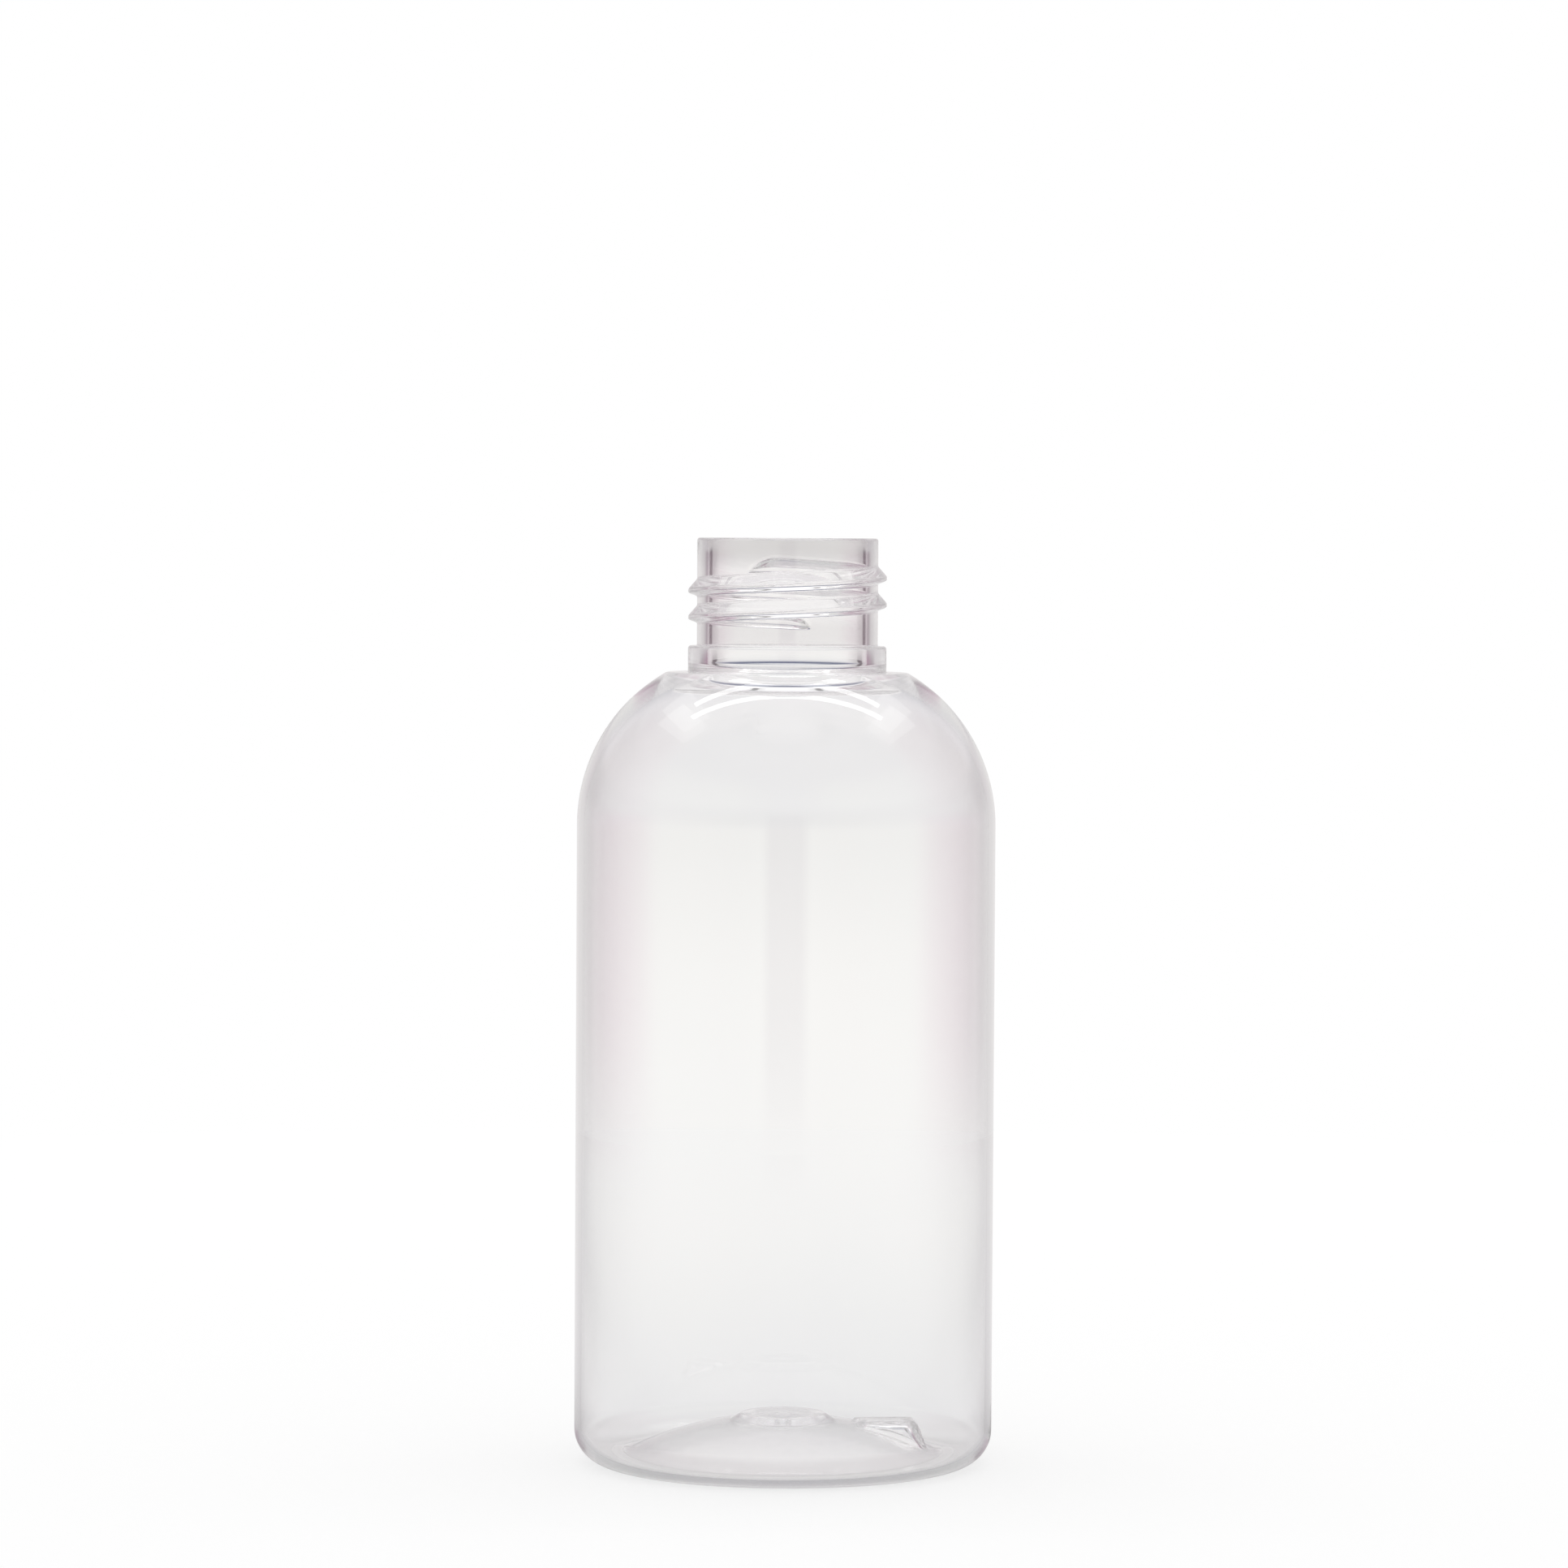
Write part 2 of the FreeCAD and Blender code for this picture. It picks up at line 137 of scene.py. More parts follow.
# Positioning notch under the push-up, with its lug inside. Its angle is in degrees.
notch = {
    "angle": 5.0,
    "margin": 3.1 * mm,
    "length": 7.2 * mm,
    "width": 5.2 * mm,
    "drop": 0.6 * mm,
    "sideSlope": 2.6 * mm,
    "endSlope": 1.6 * mm,
    "wall": 0.8 * mm,
    "rounding": 0.5 * mm,
    "cornerSoftness": 0.25,
    "topSoftness": 0.2,
    "searchUp": 0.5 * mm,
}

ledgeUp = height - bottle["finishHeight"]
beadTop = ledgeUp + bottle["beadLength"]
neckRadius = boreRadius + bottle["neckWall"]
footRadius = bodyRadius - bottle["heel"] - bottle["ringWidth"]
domeRadius = (footRadius ** 2 + bottle["pushUp"] ** 2) / (2 * bottle["pushUp"])
domeDepth = domeRadius - bottle["pushUp"]
innerDome = domeRadius + bottle["baseWall"]


def arcPoints(centre, radius, fromAngle, toAngle, step):
    count = max(2, math.ceil(abs(toAngle - fromAngle) / step))
    points = []
    for i in range(count + 1):
        angle = math.radians(fromAngle + (toAngle - fromAngle) * i / count)
        across = centre[0] + radius * math.cos(angle)
        points.append((across, centre[1] + radius * math.sin(angle)))
    return points


def roundCorner(before, corner, after, radius):
    # arc that touches both straight sides of a corner
    corner = Vector(corner)
    toBefore = (Vector(before) - corner).normalized()
    toAfter = (Vector(after) - corner).normalized()
    half = toBefore.angle(toAfter) / 2
    reach = radius / math.tan(half)
    centre = corner + (toBefore + toAfter).normalized() * radius / math.sin(half)
    start = corner + toBefore * reach - centre
    end = corner + toAfter * reach - centre
    turn = math.degrees(end.angle_signed(start)) if start.length else 0
    count = max(2, math.ceil(abs(turn) / bottle["cornerStep"]))
    first = math.atan2(start.y, start.x)
    return [
        (
            centre.x + radius * math.cos(first + math.radians(turn) * i / count),
            centre.y + radius * math.sin(first + math.radians(turn) * i / count),
        )
        for i in range(count + 1)
    ]


def outsideOutline():
    tiny = bottle["cornerRounding"]
    stub = bottle["stubRadius"]
    recessUp = bottle["pushUp"] + bottle["gateRise"]
    stubUp = recessUp - bottle["stubLength"]
    gate = bottle["gateRadius"]
    recess = gate - bottle["gateSlope"]
    recessLean = math.degrees(math.acos(gate / domeRadius))
    # gate stub and its recess, from the axis outwards
    points = [(0, stubUp)]
    points += roundCorner((0, stubUp), (stub, stubUp), (stub, recessUp), tiny)
    points += roundCorner((stub, stubUp), (stub, recessUp), (recess, recessUp), tiny)
    gateFoot = (gate, domeRadius * math.sin(math.radians(recessLean)) - domeDepth)
    points += roundCorner((stub, recessUp), (recess, recessUp), gateFoot, tiny)
    # the dome stops where its rounding into the standing ring starts
    ring = bottle["ringRounding"]
    ringAcross = math.sqrt((domeRadius + ring) ** 2 - (domeDepth + ring) ** 2)
    lean = math.degrees(math.atan2(domeDepth + ring, ringAcross))
    points += arcPoints((0, -domeDepth), domeRadius, recessLean, lean, bottle["domeStep"])
    points += arcPoints((ringAcross, ring), ring, 180 + lean, 270, bottle["ringStep"])
    # heel, body and shoulder
    heel = bottle["heel"]
    points += arcPoints((bodyRadius - heel, heel), heel, -90, 0, bottle["heelStep"])
    shoulder = bottle["shoulder"]
    turn = bottle["ledgeRounding"]
    ledgeEdge = beadRadius + bottle["ledgeWidth"]
    shoulderLean = math.acos((ledgeEdge - bodyRadius + shoulder) / (shoulder - turn))
    shoulderStart = ledgeUp - turn - (shoulder - turn) * math.sin(shoulderLean)
    lean = math.degrees(shoulderLean)
    centre = (bodyRadius - shoulder, shoulderStart)
    points += arcPoints(centre, shoulder, 0, lean, bottle["shoulderStep"])
    points += arcPoints((ledgeEdge, ledgeUp - turn), turn, lean, 90, bottle["ledgeStep"])
    # ledge, bead, neck and lip
    ledgeCorner = (beadRadius, ledgeUp)
    beadCorner = (beadRadius, beadTop)
    neckCorner = (neckRadius, beadTop)
    rimCorner = (neckRadius, height)
    lipCorner = (boreRadius, height)
    points += roundCorner((ledgeEdge, ledgeUp), ledgeCorner, beadCorner, tiny)
    points += roundCorner(ledgeCorner, beadCorner, neckCorner, bottle["beadRounding"])
    points += roundCorner(beadCorner, neckCorner, rimCorner, tiny)
    points += roundCorner(neckCorner, rimCorner, lipCorner, bottle["lipRounding"])
    return points


def insideOutline():
    # from the lip down to the middle of the push-up
    lip = bottle["lipRounding"]
    flare = bottle["boreFlare"]
    boreEnd = ledgeUp + bottle["boreRise"]
    side = bodyRadius - bottle["bodyWall"]
    shoulder = bottle["shoulder"] - bottle["shoulderInset"]
    lean = math.acos((boreRadius + flare - side + shoulder) / (shoulder + flare))
    start = boreEnd - (shoulder + flare) * math.sin(lean)
    leanDegrees = math.degrees(lean)
    heel = bottle["heel"] - bottle["bodyWall"]
    floor = bottle["baseWall"]
    channel = bottle["channel"]
    channelLean = math.asin((floor + channel + domeDepth) / (innerDome + channel))
    channelEdge = (innerDome + channel) * math.cos(channelLean)
    channelDegrees = math.degrees(channelLean)
    gate = bottle["gateRadius"]
    gateFoot = gate + bottle["gateSlope"]
    gateLean = math.degrees(math.acos(gateFoot / innerDome))
    gateUp = bottle["pushUp"] + floor + bottle["gateRise"]
    points = roundCorner((neckRadius, height), (boreRadius, height), (boreRadius, boreEnd), lip)
    centre = (boreRadius + flare, boreEnd)
    points += arcPoints(centre, flare, 180, 180 + leanDegrees, bottle["flareStep"])
    centre = (side - shoulder, start)
    points += arcPoints(centre, shoulder, leanDegrees, 0, bottle["shoulderStep"])
    points += arcPoints((side - heel, floor + heel), heel, 0, -90, bottle["innerHeelStep"])
    centre = (channelEdge, floor + channel)
    points += arcPoints(centre, channel, 270, 180 + channelDegrees, bottle["channelStep"])
    points += arcPoints((0, -domeDepth), innerDome, channelDegrees, gateLean, bottle["domeStep"])
    foot = (gateFoot, innerDome * math.sin(math.radians(gateLean)) - domeDepth)
    points += roundCorner(foot, (gate, gateUp), (0, gateUp), bottle["gateRounding"])
    points.append((0, gateUp))
    return points


def addRings(points, gap):
    # straight stretches get rings of their own, so that the wall's shading stays even,
    # and the neck gets close ones, for the thread to be raised on
    finished = [points[0]]
    for start, end in zip(points, points[1:]):
        length = math.dist(start, end)
        if length < hair:
            continue
        onNeck = all(abs(point[0] - neckRadius) < hair for point in (start, end))
        count = max(1, math.ceil(length / (thread["ringGap"] if onNeck else gap)))
        for i in range(1, count + 1):
            share = i / count
            across = start[0] + (end[0] - start[0]) * share
            finished.append((across, start[1] + (end[1] - start[1]) * share))
    return finished


def spinOutline(name, points, steps):
    deselectAll()
    bpy.ops.mesh.primitive_plane_add(size=mm, location=(0, 0, 0))
    piece = bpy.context.active_object
    piece.name = name
    bpy.ops.object.mode_set(mode="EDIT")
    bpy.ops.mesh.select_all(action="SELECT")
    bpy.ops.mesh.merge(type="CENTER")
    bpy.ops.transform.translate(value=(points[0][0], 0, points[0][1]))
    for start, end in zip(points, points[1:]):
        step = (end[0] - start[0], 0, end[1] - start[1])
        bpy.ops.mesh.extrude_region_move(TRANSFORM_OT_translate={"value": step})
    bpy.ops.mesh.select_all(action="SELECT")
    bpy.ops.mesh.spin(steps=steps, angle=math.tau, center=(0, 0, 0), axis=(0, 0, 1))
    bpy.ops.mesh.select_all(action="SELECT")
    bpy.ops.mesh.remove_doubles(threshold=bottle["weldGap"])
    bpy.ops.mesh.normals_make_consistent(inside=False)
    bpy.ops.object.mode_set(mode="OBJECT")
    return piece


outline = addRings(outsideOutline() + insideOutline(), bottle["ringGap"])
shell = spinOutline("blownBottle", outline, bottle["spinCount"])
print("shell:", len(outline), "rings,", len(shell.data.polygons), "faces")


def flank(rise):
    # height of the thread with sharp corners, from 0 at its roots to 1 on its crest
    half = thread["land"] / 2
    reach = thread["flankUp"] if rise > 0 else thread["flankDown"]
    return min(max(1 - (abs(rise) - half) / (reach - half), 0), 1)


def ridge(rise):
    # the corners are rounded by taking the mean over a short way
    soft = thread["softness"]
    return sum(flank(rise + soft * share / 2) for share in (-2, -1, 0, 1, 2)) / 5


def tip(share):
    # the thread rises at its ends like a quarter wave
    return math.sin(math.tau / 4 * min(max(share, 0), 1))


def raiseThread(mesh):
    lowest = beadTop + thread["gap"]
    # both ends run on a little, because they fade slowly
    turnTotal = 360 * (height - thread["top"] - lowest) / thread["pitch"]
    turnTotal += thread["noseRun"] + thread["tailRun"]
    lowest -= thread["pitch"] * thread["noseRun"] / 360
    start = thread["start"] - thread["noseRun"]
    for vertex in mesh.vertices:
        place = vertex.co
        offSurface = abs(math.hypot(place.x, place.y) - neckRadius)
        if offSurface > thread["onSurface"] or place.z < beadTop:
            continue
        azimuth = (math.degrees(math.atan2(place.y, place.x)) - start) % 360
        most = 0
        for turnIndex in range(thread["mostTurns"]):
            along = azimuth + 360 * turnIndex
            if along > turnTotal:
                break
            nose = tip(along / thread["noseFade"])
            full = nose * tip((turnTotal - along) / thread["tailFade"])
            middle = lowest + thread["pitch"] * along / 360 - thread["tipDrop"] * (1 - full)
            narrow = 1 - thread["tipNarrowing"] * (1 - full)
            most = max(most, ridge((place.z - middle) / narrow) * full)
        grown = 1 + thread["crest"] * most / neckRadius
        place.x *= grown
        place.y *= grown


raiseThread(shell.data)
print("thread raised")


def blend(first, second, reach):
    # the greater of two values, rounded off where they meet
    return max(first, second) + max(reach - abs(first - second), 0) ** 2 / (4 * reach)


def lugHeight(place, inset, top):
    # height of the notch's lug over a point of the base, set in by its wall
    turned = math.radians(notch["angle"])
    along = place.x * math.cos(turned) + place.y * math.sin(turned)
    across = abs(place.y * math.cos(turned) - place.x * math.sin(turned))
    outer = footRadius - notch["margin"]
    inner = outer - notch["length"]
    overEnd = along - (outer - inset)
    overSide = across - (notch["width"] / 2 - inset)
    if along < inner + inset:
        return -1
    corner = notch["cornerSoftness"]
    slope = blend(overEnd / notch["endSlope"], overSide / notch["sideSlope"], corner)
    return top * (1 - blend(slope, 0, notch["topSoftness"]))


def raiseNotch(mesh):
    domeTop = bottle["pushUp"] + bottle["baseWall"]
    inside = domeTop - notch["drop"]
    reach = footRadius + bottle["ringWidth"]
    for vertex in mesh.vertices:
        place = vertex.co
        across = math.hypot(place.x, place.y)
        if across > reach or place.z > domeTop + notch["searchUp"]:
            continue
        domeUp = math.sqrt(max(domeRadius ** 2 - across ** 2, 0)) - domeDepth
        # the upper skin takes the whole lug, the lower one the same less its wall
        if place.z > domeUp + bottle["baseWall"] / 2:
            place.z = blend(place.z, lugHeight(place, 0, inside), notch["rounding"])
        elif across < footRadius:
            lug = lugHeight(place, notch["wall"], inside - notch["wall"])
            place.z = blend(place.z, lug, notch["rounding"])


raiseNotch(shell.data)
print("notch raised")

pickOnly(shell)
bpy.ops.object.shade_smooth_by_angle(angle=math.radians(bottle["smoothAngle"]))


class Wire:
    # a socket, or a tree with none yet; operators on it add Math nodes
    def __init__(self, tree, socket=None):
        self.tree = tree
        self.socket = socket

    def node(self, kind, settings=None, sockets=None, output=0):
        # a new node; its sockets take wires, numbers or colours of three parts
        made = self.tree.nodes.new(kind)
        for key, value in (settings or {}).items():
            setattr(made, key, value)
        for key, value in (sockets or {}).items():
            if isinstance(value, Wire):
                self.tree.links.new(value.socket, made.inputs[key])
            elif isinstance(value, tuple):
                made.inputs[key].default_value = (*value, 1)
            else:
                made.inputs[key].default_value = value
        return Wire(self.tree, made.outputs[output] if made.outputs else None)

    def maths(self, operation, first, second=0.0):
        return self.node("ShaderNodeMath", {"operation": operation}, {0: first, 1: second})

    def __add__(self, other):
        return self.maths("ADD", self, other)

    def __radd__(self, other):
        return self.maths("ADD", other, self)

    def __sub__(self, other):
        return self.maths("SUBTRACT", self, other)

    def __rsub__(self, other):
        return self.maths("SUBTRACT", other, self)

    def __mul__(self, other):
        return self.maths("MULTIPLY", self, other)

    def __rmul__(self, other):
        return self.maths("MULTIPLY", other, self)

    def __truediv__(self, other):
        return self.maths("DIVIDE", self, other)

    def over(self, other):
        # 1 where this value is greater
        return self.maths("GREATER_THAN", self, other)

    def atLeast(self, other):
        return self.maths("MAXIMUM", self, other)

    def ramp(self, low, high):
        # 0 below low, 1 above high, smooth between
        return self.node(
            "ShaderNodeMapRange",
            {"interpolation_type": "SMOOTHSTEP"},
            {0: self, 1: low, 2: high, 3: 0.0, 4: 1.0},
        )

    def stops(self, places, whole):
        # colours at places along this value, from 0 to whole
        made = self.node("ShaderNodeValToRGB", None, {0: self / whole})
        ramp = made.socket.node.color_ramp
        while len(ramp.elements) < len(places):
            ramp.elements.new(1.0)
        for element, (place, colour) in zip(ramp.elements, places):
            element.position = place / whole
            element.color = (*colour, 1)
        return made

    def split(self, name):
        # the three parts of a texture coordinate
        place = self.node("ShaderNodeTexCoord", output=name)
        apart = self.node("ShaderNodeSeparateXYZ", None, {0: place})
        return [Wire(self.tree, part) for part in apart.socket.node.outputs]

    def mixColours(self, blending, factor, first, second):
        # the Mix node has its colours at sockets 6 and 7, and their mix at output 2
        settings = {"data_type": "RGBA", "blend_type": blending}
        return self.node("ShaderNodeMix", settings, {0: factor, 6: first, 7: second}, output=2)

    def scaled(self, other):
        # this colour times another, part by part
        return self.mixColours("MULTIPLY", 1.0, self, other)

    def mix(self, first, second):
        # from the first colour to the second, by this value
        return self.mixColours("MIX", self, first, second)


# Clear plastic. Pairs of numbers are where a smooth change starts and ends.
plastic = {
    "refraction": 1.575,
    "tints": ((0.985, 0.984, 0.987), (0.978, 0.979, 0.984)),
    "tintChange": (0.3, 0.7),
    # heights in millimetres, each with its colour: a little grey, and darker in bands by painted
    # shade
    "neckGreyAndPaintedShade": (
        (97.0, (0.975, 0.968, 0.972)),
        (98.8, (0.935, 0.927, 0.931)),
        (100.2, (0.935, 0.927, 0.931)),
        (101.4, (0.985, 0.977, 0.981)),
        (106.8, (0.985, 0.977, 0.981)),
        (108.3, (0.880, 0.872, 0.878)),
        (109.5, (0.855, 0.847, 0.853)),
        (110.8, (0.835, 0.827, 0.833)),
    ),
    "neckWhole": 120,
    "neckStart": (96 * mm, 97.5 * mm),
    # the foot of the push-up: painted shade
    "footPaintedShade": (0.85, 0.84, 0.85),
    "footStart": (15.0 * mm, 17.5 * mm),
    "footEnd": (19.8 * mm, 20.8 * mm),
    "footTop": (3.5 * mm, 4.5 * mm),
    "dullEnd": (17.5 * mm, 19.2 * mm),
    "dullTop": (6.0 * mm, 7.0 * mm),
    "lugStart": (8.0 * mm, 9.5 * mm),
    "lugSide": (2.6 * mm, 3.6 * mm),
    "dullness": 0.05,
    "grainDullness": 0.08,
    "grainScale": 700.0,
    "rippleDullness": 0.008,
    "rippleChange": (0.5, 0.8),
    "rippleScale": 45.0,
}


def noise(start, scale):
    place = start.node("ShaderNodeTexCoord", output="Object")
    return start.node("ShaderNodeTexNoise", None, {"Vector": place, "Scale": scale, "Detail": 1.0})


def clearPlastic():
    material = bpy.data.materials.new("clearPlastic")
    material.use_nodes = True
    tree = material.node_tree
    shader = tree.nodes["Principled BSDF"]
    shader.inputs["IOR"].default_value = plastic["refraction"]
    shader.inputs["Transmission Weight"].default_value = 1.0
    start = Wire(tree)
    x, y, z = start.split("Object")
    across = start.maths("SQRT", x * x + y * y)

    # the push-up is stretched less than the wall and stays a little dull, all but the lug
    dull = (1.0 - across.ramp(*plastic["dullEnd"])) * (1.0 - z.ramp(*plastic["dullTop"]))
    beside = start.maths("ABSOLUTE", y - x * math.tan(math.radians(notch["angle"])))
    onLug = x.ramp(*plastic["lugStart"]) * (1.0 - beside.ramp(*plastic["lugSide"]))
    dull = dull * (1.0 - onLug)
    grain = noise(start, plastic["grainScale"])
    ripple = noise(start, plastic["rippleScale"])
    roughness = dull * (plastic["dullness"] + plastic["grainDullness"] * grain)
    roughness = roughness + plastic["rippleDullness"] * ripple.ramp(*plastic["rippleChange"])
    tint = ripple.ramp(*plastic["tintChange"]).mix(*plastic["tints"])
    # the neck isn't stretched, so it is thicker and a little greyer; painted shade makes it darker
    # in a low band and most of all at its rim
    grey = (z / mm).stops(plastic["neckGreyAndPaintedShade"], plastic["neckWhole"])
    tint = z.ramp(*plastic["neckStart"]).mix(tint, grey)
    # the foot of the push-up, just inside the standing ring, is darker by painted shade
    foot = across.ramp(*plastic["footStart"]) * (1.0 - across.ramp(*plastic["footEnd"]))
    foot = foot * (1.0 - z.ramp(*plastic["footTop"]))
    tint = foot.mix(tint, plastic["footPaintedShade"])
    tree.links.new(roughness.socket, shader.inputs["Roughness"])
    tree.links.new(tint.socket, shader.inputs["Base Color"])
    return material


shell.data.materials.clear()
shell.data.materials.append(clearPlastic())
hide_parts("bottle")
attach(shell, "root")


# Studio. Directions are in degrees off the way straight behind the bottle, to either side, and
# heights in degrees above the horizon. Pairs of numbers are where a smooth change starts and ends.
# Straight through the bottle shows a ring of eight pale panels with dark gaps, under a dark band
# and a bright roof. Mirrored in it are a pale backdrop, dim lilac sides, two big softboxes in
# front and the lamps.
halfTurn = 180
white = (1.0, 1.0, 1.0)
studio = {
    # seen through the bottle: colours by height, and the panels' strength by direction
    "behind": (
        (-8, (0.99, 0.98, 0.96)),
        (-5, (0.99, 0.98, 0.96)),
        (-4, (0.97, 0.96, 0.94)),
        (-3.3, (0.94, 0.93, 0.91)),
        (-2.7, (0.91, 0.90, 0.88)),
        (-1.5, (0.92, 0.91, 0.90)),
        (4, (0.92, 0.91, 0.90)),
        (8, (0.86, 0.85, 0.85)),
        (12, (0.80, 0.79, 0.81)),
        (16, (0.52, 0.52, 0.58)),
        (20, (0.09, 0.11, 0.20)),
        (29, (0.10, 0.12, 0.22)),
        (38, (1.10, 1.09, 1.10)),
        (52, (1.25, 1.24, 1.24)),
    ),
    "panels": ((0, 1.0), (11, 0.99), (14, 0.82), (18, 0.70), (20, 0.08), (22.5, 0.04)),
    "panelTurn": 22.5,
    "panelGap": (11, 20),
    "panelStart": (-5.6, -3.4),
    # mirrored: colours by direction, at three heights
    "mirroredLevel": (
        (0, (0.87, 0.85, 0.85)),
        (20, (0.74, 0.72, 0.72)),
        (34, (0.70, 0.68, 0.68)),
        (43, (0.42, 0.38, 0.40)),
        (61, (0.39, 0.23, 0.32)),
        (84, (0.61, 0.44, 0.52)),
        (97, (0.83, 0.76, 0.77)),
        (104, (0.89, 0.90, 0.86)),
        (166, (0.90, 0.91, 0.87)),
        (171.5, (0.56, 0.53, 0.55)),
    ),
    "mirroredLow": (
        (0, (0.78, 0.76, 0.76)),
        (20, (0.71, 0.68, 0.69)),
        (32, (0.61, 0.58, 0.59)),
        (43, (0.27, 0.21, 0.24)),
        (61, (0.31, 0.23, 0.28)),
        (84, (0.47, 0.36, 0.44)),
        (104, (0.62, 0.62, 0.61)),
        (150, (0.47, 0.50, 0.50)),
        (174, (0.34, 0.36, 0.40)),
    ),
    "mirroredHigh": (
        (0, (0.54, 0.53, 0.53)),
        (20, (0.68, 0.67, 0.68)),
        (32, (0.82, 0.78, 0.80)),
        (45, (0.48, 0.40, 0.43)),
        (61, (0.35, 0.23, 0.29)),
        (84, (0.58, 0.45, 0.53)),
        (104, (0.76, 0.78, 0.76)),
        (150, (0.73, 0.77, 0.73)),
        (174, (0.58, 0.59, 0.64)),
    ),
    "startLevel": (-6.2, -4.2),
    "startLow": (0, 6),
    "startHigh": (11, 17),
    # the roof goes by place on a flat ceiling one unit up
    "roofStart": (29, 35),
    "roofFront": (0.57, 0.58, 0.62),
    "roofMiddle": (1.06, 1.04, 1.03),
    "roofMiddleStart": (-0.15, 0.0),
    "roofBack": (0.88, 0.86, 0.86),
    "roofBackStart": (0.55, 0.75),
    "roofSide": (0.52, 0.39, 0.46),
    "roofSideStart": (0.62, 1.10),
    "roofSideFront": (-0.3, 0.1),
    "roofSideBack": (0.9, 1.3),
    "leastUp": 0.01,
    "leastLevel": 1e-5,
    # floor: colours by distance in millimetres, then by direction. They hold painted light: a
    # painted glow under the bottle, painted shadow round its foot, and painted shadows off to its
    # back sides
    "floorBehindPaintedGlowAndShadow": (
        (0, (1.10, 1.08, 1.07)),
        (17, (1.06, 1.04, 1.03)),
        (24, (0.84, 0.83, 0.82)),
        (50, (0.88, 0.875, 0.87)),
        (70, (0.90, 0.895, 0.885)),
        (160, (0.93, 0.925, 0.905)),
        (250, (0.96, 0.95, 0.93)),
        (400, (0.975, 0.965, 0.945)),
    ),
    # mirrored near the bottle: painted shadows, darkest off to its back sides
    "floorNearPaintedShadows": (
        (0, (0.95, 0.92, 0.92)),
        (20, (0.72, 0.70, 0.71)),
        (40, (0.56, 0.54, 0.55)),
        (60, (0.43, 0.41, 0.42)),
        (82, (0.57, 0.56, 0.57)),
        (120, (0.58, 0.58, 0.58)),
        (180, (0.55, 0.54, 0.56)),
    ),
    # mirrored under the bottle: a painted glow
    "floorUnderPaintedGlow": (1.30, 1.27, 1.26),
    # mirrored further out: painted shadows, darkest off to the back sides
    "floorFarPaintedShadows": (
        (0, (0.80, 0.78, 0.79)),
        (20, (0.70, 0.68, 0.68)),
        (40, (0.55, 0.53, 0.54)),
        (62, (0.43, 0.42, 0.42)),
        (84, (0.62, 0.61, 0.61)),
        (110, (0.78, 0.79, 0.76)),
        (180, (0.73, 0.74, 0.71)),
    ),
    # how much darker the far floor is painted in line with the panels' gaps: painted shade
    "floorGapPaintedShade": 0.22,
    "startGap": (90, 220),
    "startNear": (18, 22),
    "startFar": (100, 260),
    "startWall": (310, 530),
    "floorReach": 420,
    "floorCorners": 96,
    # the floor's share of plain paint, which keeps the shadow, and the light that falls on it
    "shadowShare": 0.25,
    "floorLight": 0.98,
    "worldLight": (0.9, 0.9, 0.9),
    "lampUp": 1.09,
    "crossLamp": {"centre": (0, 0.34), "size": (1.25, 0.095), "radiance": 3.2},
    "sideLamp": {"centre": (0.75, 0.37), "size": (0.34, 0.74), "radiance": 0.5},
}


def glowShader(start, kind, colour, strength=1.0):
    return start.node(kind, None, {"Color": colour, "Strength": strength})


def mixShader(factor, first, second):
    return factor.node("ShaderNodeMixShader", None, {0: factor, 1: first, 2: second})


def offBehind(start, x, y):
    level = start.maths("SQRT", x * x + y * y).atLeast(studio["leastLevel"])
    return start.maths("ARCCOSINE", y / level) * math.degrees(1)


def lightPath(start, output):
    return start.node("ShaderNodeLightPath", output=output)


def isMirrored(start):
    # 1 for rays that were mirrored at least once, 0 for those only bent on their way through
    return lightPath(start, "Glossy Depth").over(0.5)


def shifted(table, gain, lift):
    return tuple((place, tuple(part * gain + lift for part in colour)) for place, colour in table)


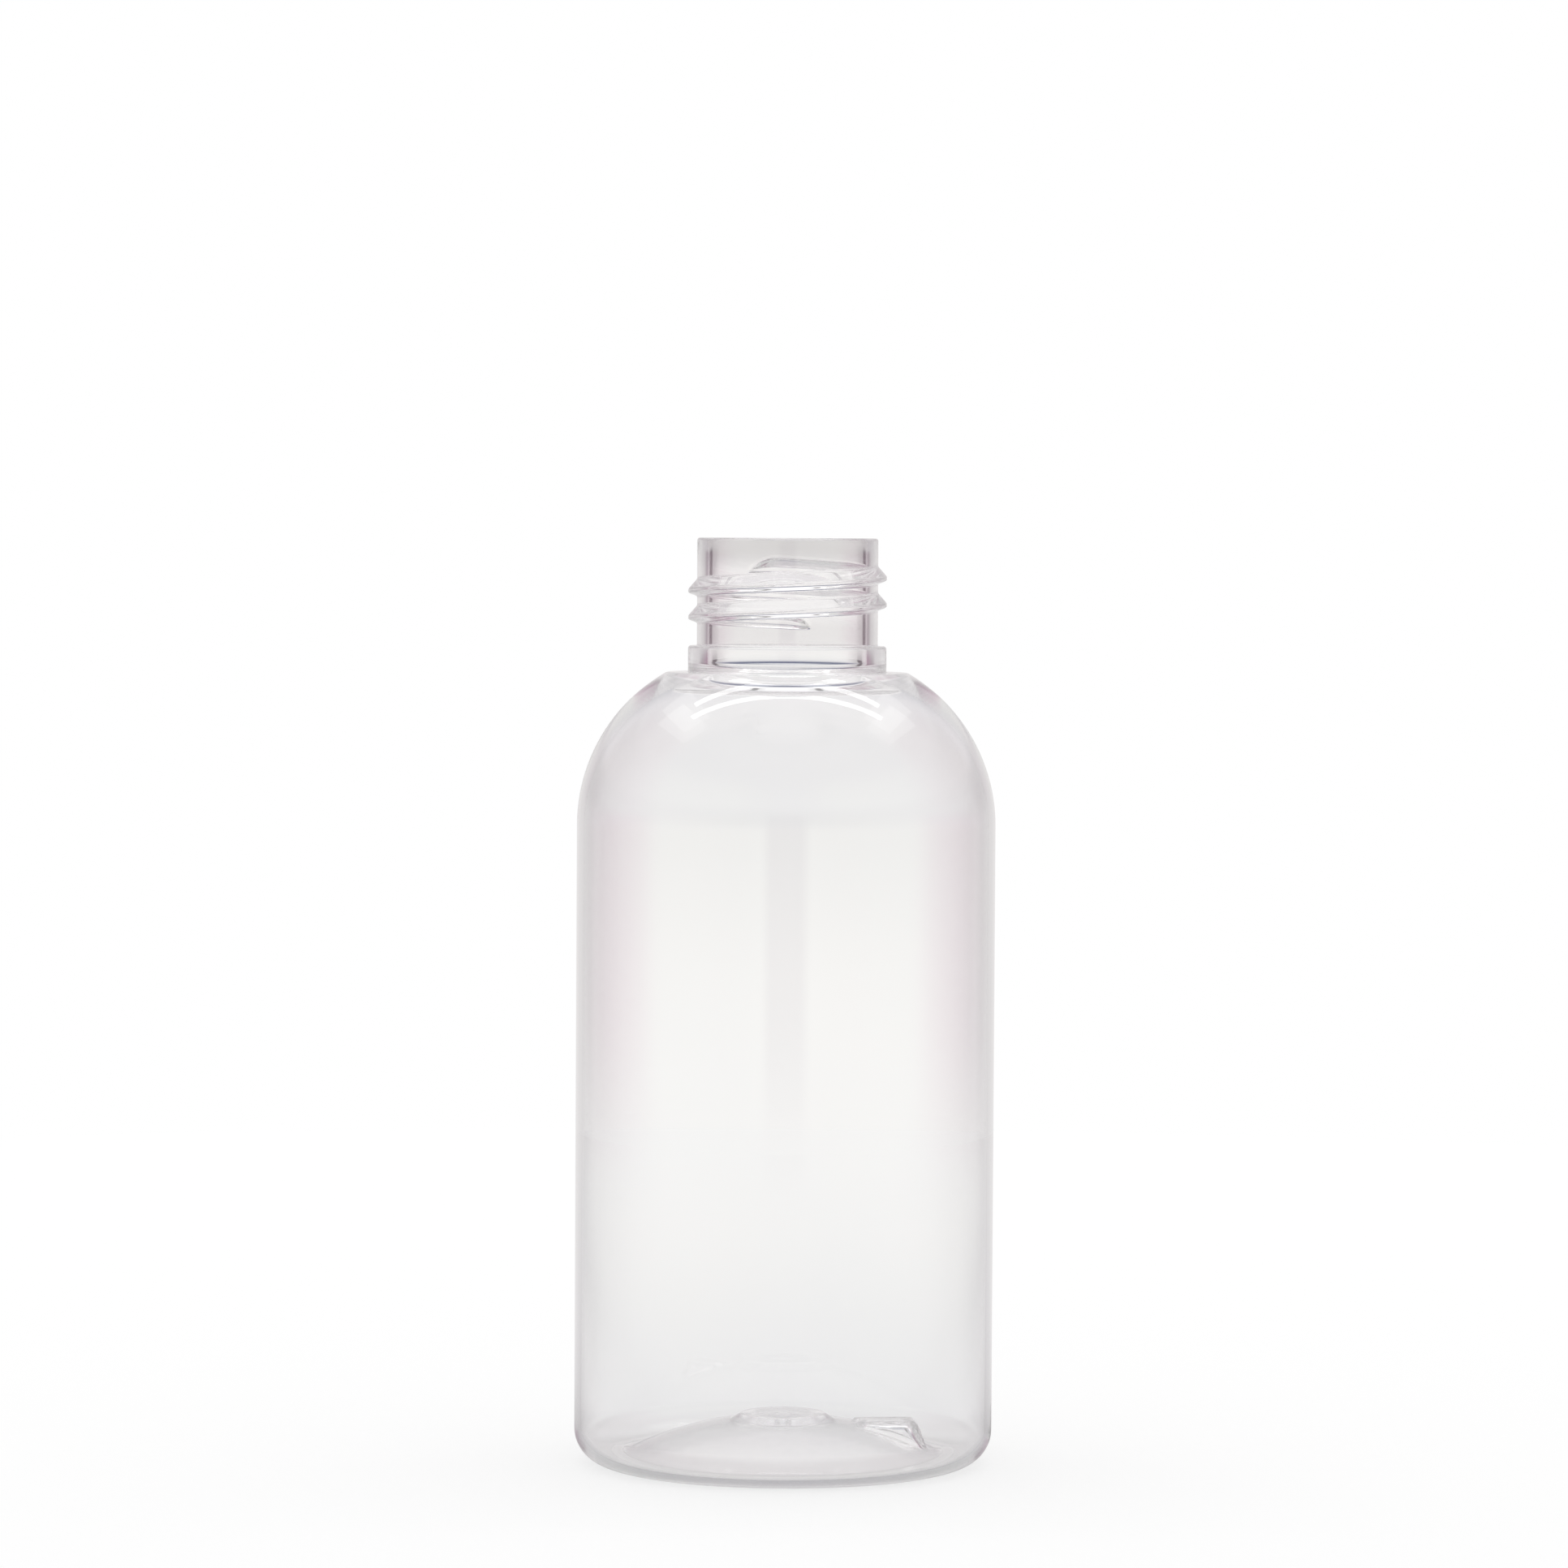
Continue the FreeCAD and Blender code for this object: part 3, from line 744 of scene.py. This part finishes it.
def buildWorld():
    world = bpy.data.worlds.new("studioWorld")
    bpy.context.scene.world = world
    world.use_nodes = True
    world.node_tree.nodes.clear()
    start = Wire(world.node_tree)
    x, y, z = start.split("Generated")
    off = offBehind(start, x, y)
    up = start.maths("ARCSINE", z) * math.degrees(1)

    # straight through the bottle: the same from every side
    within = start.maths("PINGPONG", off, studio["panelTurn"])
    greys = tuple((place, (grey, grey, grey)) for place, grey in studio["panels"])
    panel = within.stops(greys, studio["panelTurn"])
    # at the floor's rim the gaps are as faint as the painted shade of the gaps on the floor
    share = studio["shadowShare"]
    faint = 1.0 - studio["floorGapPaintedShade"] * (1.0 - share)
    low = within.ramp(*studio["panelGap"]).mix(white, (faint, faint, faint))
    panel = up.ramp(*studio["panelStart"]).mix(low, panel)
    lift = -studio["behind"][0][0]
    heights = tuple((place + lift, colour) for place, colour in studio["behind"])
    behind = (up + lift).stops(heights, heights[-1][0]).scaled(panel)

    # mirrored
    # beyond the floor's rim the floor's painted shadows go on
    farFloorPaintedShadows = shifted(studio["floorFarPaintedShadows"], 1.0 - share, share * studio["floorLight"])
    mirrored = off.stops(farFloorPaintedShadows, halfTurn)
    for band in ("Level", "Low", "High"):
        colours = off.stops(studio["mirrored" + band], halfTurn)
        mirrored = up.ramp(*studio["start" + band]).mix(mirrored, colours)
    overX = start.maths("ABSOLUTE", x) / z.atLeast(studio["leastUp"])
    overY = y / z.atLeast(studio["leastUp"])
    roof = overY.ramp(*studio["roofMiddleStart"]).mix(studio["roofFront"], studio["roofMiddle"])
    roof = overY.ramp(*studio["roofBackStart"]).mix(roof, studio["roofBack"])
    side = overX.ramp(*studio["roofSideStart"]) * overY.ramp(*studio["roofSideFront"])
    side = side * (1.0 - overY.ramp(*studio["roofSideBack"]))
    roof = side.mix(roof, studio["roofSide"])
    mirrored = up.ramp(*studio["roofStart"]).mix(mirrored, roof)

    colour = isMirrored(start).mix(behind, mirrored)
    colour = lightPath(start, "Is Diffuse Ray").mix(colour, studio["worldLight"])
    lit = glowShader(start, "ShaderNodeBackground", colour)
    plain = glowShader(start, "ShaderNodeBackground", white)
    shown = mixShader(lightPath(start, "Is Camera Ray"), lit, plain)
    start.node("ShaderNodeOutputWorld", None, {0: shown})


buildWorld()


def buildFloor():
    deselectAll()
    bpy.ops.mesh.primitive_circle_add(
        vertices=studio["floorCorners"],
        radius=studio["floorReach"] * mm,
        fill_type="NGON",
        location=(0, 0, 0),
    )
    floor = bpy.context.active_object
    floor.name = "studioFloor"
    material = bpy.data.materials.new("paleFloorPaintedLight")
    material.use_nodes = True
    material.node_tree.nodes.clear()
    start = Wire(material.node_tree)
    x, y = start.split("Object")[:2]
    reach = start.maths("SQRT", x * x + y * y) / mm
    off = offBehind(start, x, y)

    # straight through the bottle: a painted glow under it, and painted shadow round it that
    # lightens outwards
    behind = reach.stops(studio["floorBehindPaintedGlowAndShadow"], studio["floorReach"])
    # the far floor is painted darker in wedges in line with the panels' gaps: painted shade
    gap = start.maths("PINGPONG", off, studio["panelTurn"]).ramp(*studio["panelGap"])
    gap = gap * reach.ramp(*studio["startGap"])
    behind = (gap * studio["floorGapPaintedShade"]).mix(behind, (0.0, 0.0, 0.0))

    # mirrored: a painted glow under the bottle and painted shadows off to its back sides; at its
    # rim the floor and its paint together are as bright as the wall
    share = studio["shadowShare"]
    lift = -share * studio["floorLight"] / (1.0 - share)
    wall = shifted(studio["mirroredLevel"], 1.0 / (1.0 - share), lift)
    mirrored = studio["floorUnderPaintedGlow"]
    rings = (("Near", studio["floorNearPaintedShadows"]), ("Far", studio["floorFarPaintedShadows"]), ("Wall", wall))
    for ring, table in rings:
        colours = off.stops(table, halfTurn)
        mirrored = reach.ramp(*studio["start" + ring]).mix(mirrored, colours)

    colour = isMirrored(start).mix(behind, mirrored)
    glow = glowShader(start, "ShaderNodeEmission", colour, 1.0 - share)
    plain = glowShader(start, "ShaderNodeEmission", white, 1.0 - share)
    shown = mixShader(lightPath(start, "Is Camera Ray"), glow, plain)
    paint = start.node("ShaderNodeBsdfDiffuse", None, {"Color": (share, share, share)})
    both = start.node("ShaderNodeAddShader", None, {0: shown, 1: paint})
    start.node("ShaderNodeOutputMaterial", None, {0: both})
    floor.data.materials.append(material)


buildFloor()


def hangLamp(name, lamp, side=1):
    data = bpy.data.lights.new(name, "AREA")
    data.shape = "RECTANGLE"
    data.size, data.size_y = lamp["size"]
    data.energy = lamp["radiance"] * math.pi * data.size * data.size_y
    item = bpy.data.objects.new(name, data)
    item.location = (lamp["centre"][0] * side, lamp["centre"][1], studio["lampUp"])
    bpy.context.scene.collection.objects.link(item)


hangLamp("crossLamp", studio["crossLamp"])
hangLamp("leftLamp", studio["sideLamp"], side=-1)
hangLamp("rightLamp", studio["sideLamp"])
print("studio ready")

# Camera of the photograph: angles in radians, lens and sensor in millimetres
cameraSetup = {
    "away": 741.1 * mm,
    "up": 110.75 * mm,
    "yaw": -0.0004,
    "pitch": 0.0396,
    "roll": 0.0058,
    "lens": 142.53,
    "sensor": 36.0,
    "clip": 10 * mm,
}


def buildCamera():
    data = bpy.data.cameras.new("photoCamera")
    camera = bpy.data.objects.new("photoCamera", data)
    bpy.context.scene.collection.objects.link(camera)
    data.lens = cameraSetup["lens"]
    data.sensor_width = cameraSetup["sensor"]
    data.clip_start = cameraSetup["clip"]
    yaw, pitch, roll = (cameraSetup[key] for key in ("yaw", "pitch", "roll"))
    ahead = math.cos(pitch)
    forward = Vector((math.sin(yaw) * ahead, math.cos(yaw) * ahead, -math.sin(pitch)))
    level = Vector((math.cos(yaw), -math.sin(yaw), 0))
    above = level.cross(forward)
    right = level * math.cos(roll) + above * math.sin(roll)
    upward = above * math.cos(roll) - level * math.sin(roll)
    place = Vector((0, -cameraSetup["away"], cameraSetup["up"]))
    matrix = camera.matrix_world.copy()
    for column, values in enumerate((right, upward, -forward, place)):
        for row in range(3):
            matrix[row][column] = values[row]
    camera.matrix_world = matrix
    bpy.context.scene.camera = camera


buildCamera()
bpy.context.scene.view_settings.view_transform = "Standard"
# light runs a long way inside the clear wall before it leaves
bounceLimit = 128
for limit in ("max_bounces", "glossy_bounces", "transmission_bounces"):
    setattr(bpy.context.scene.cycles, limit, bounceLimit)
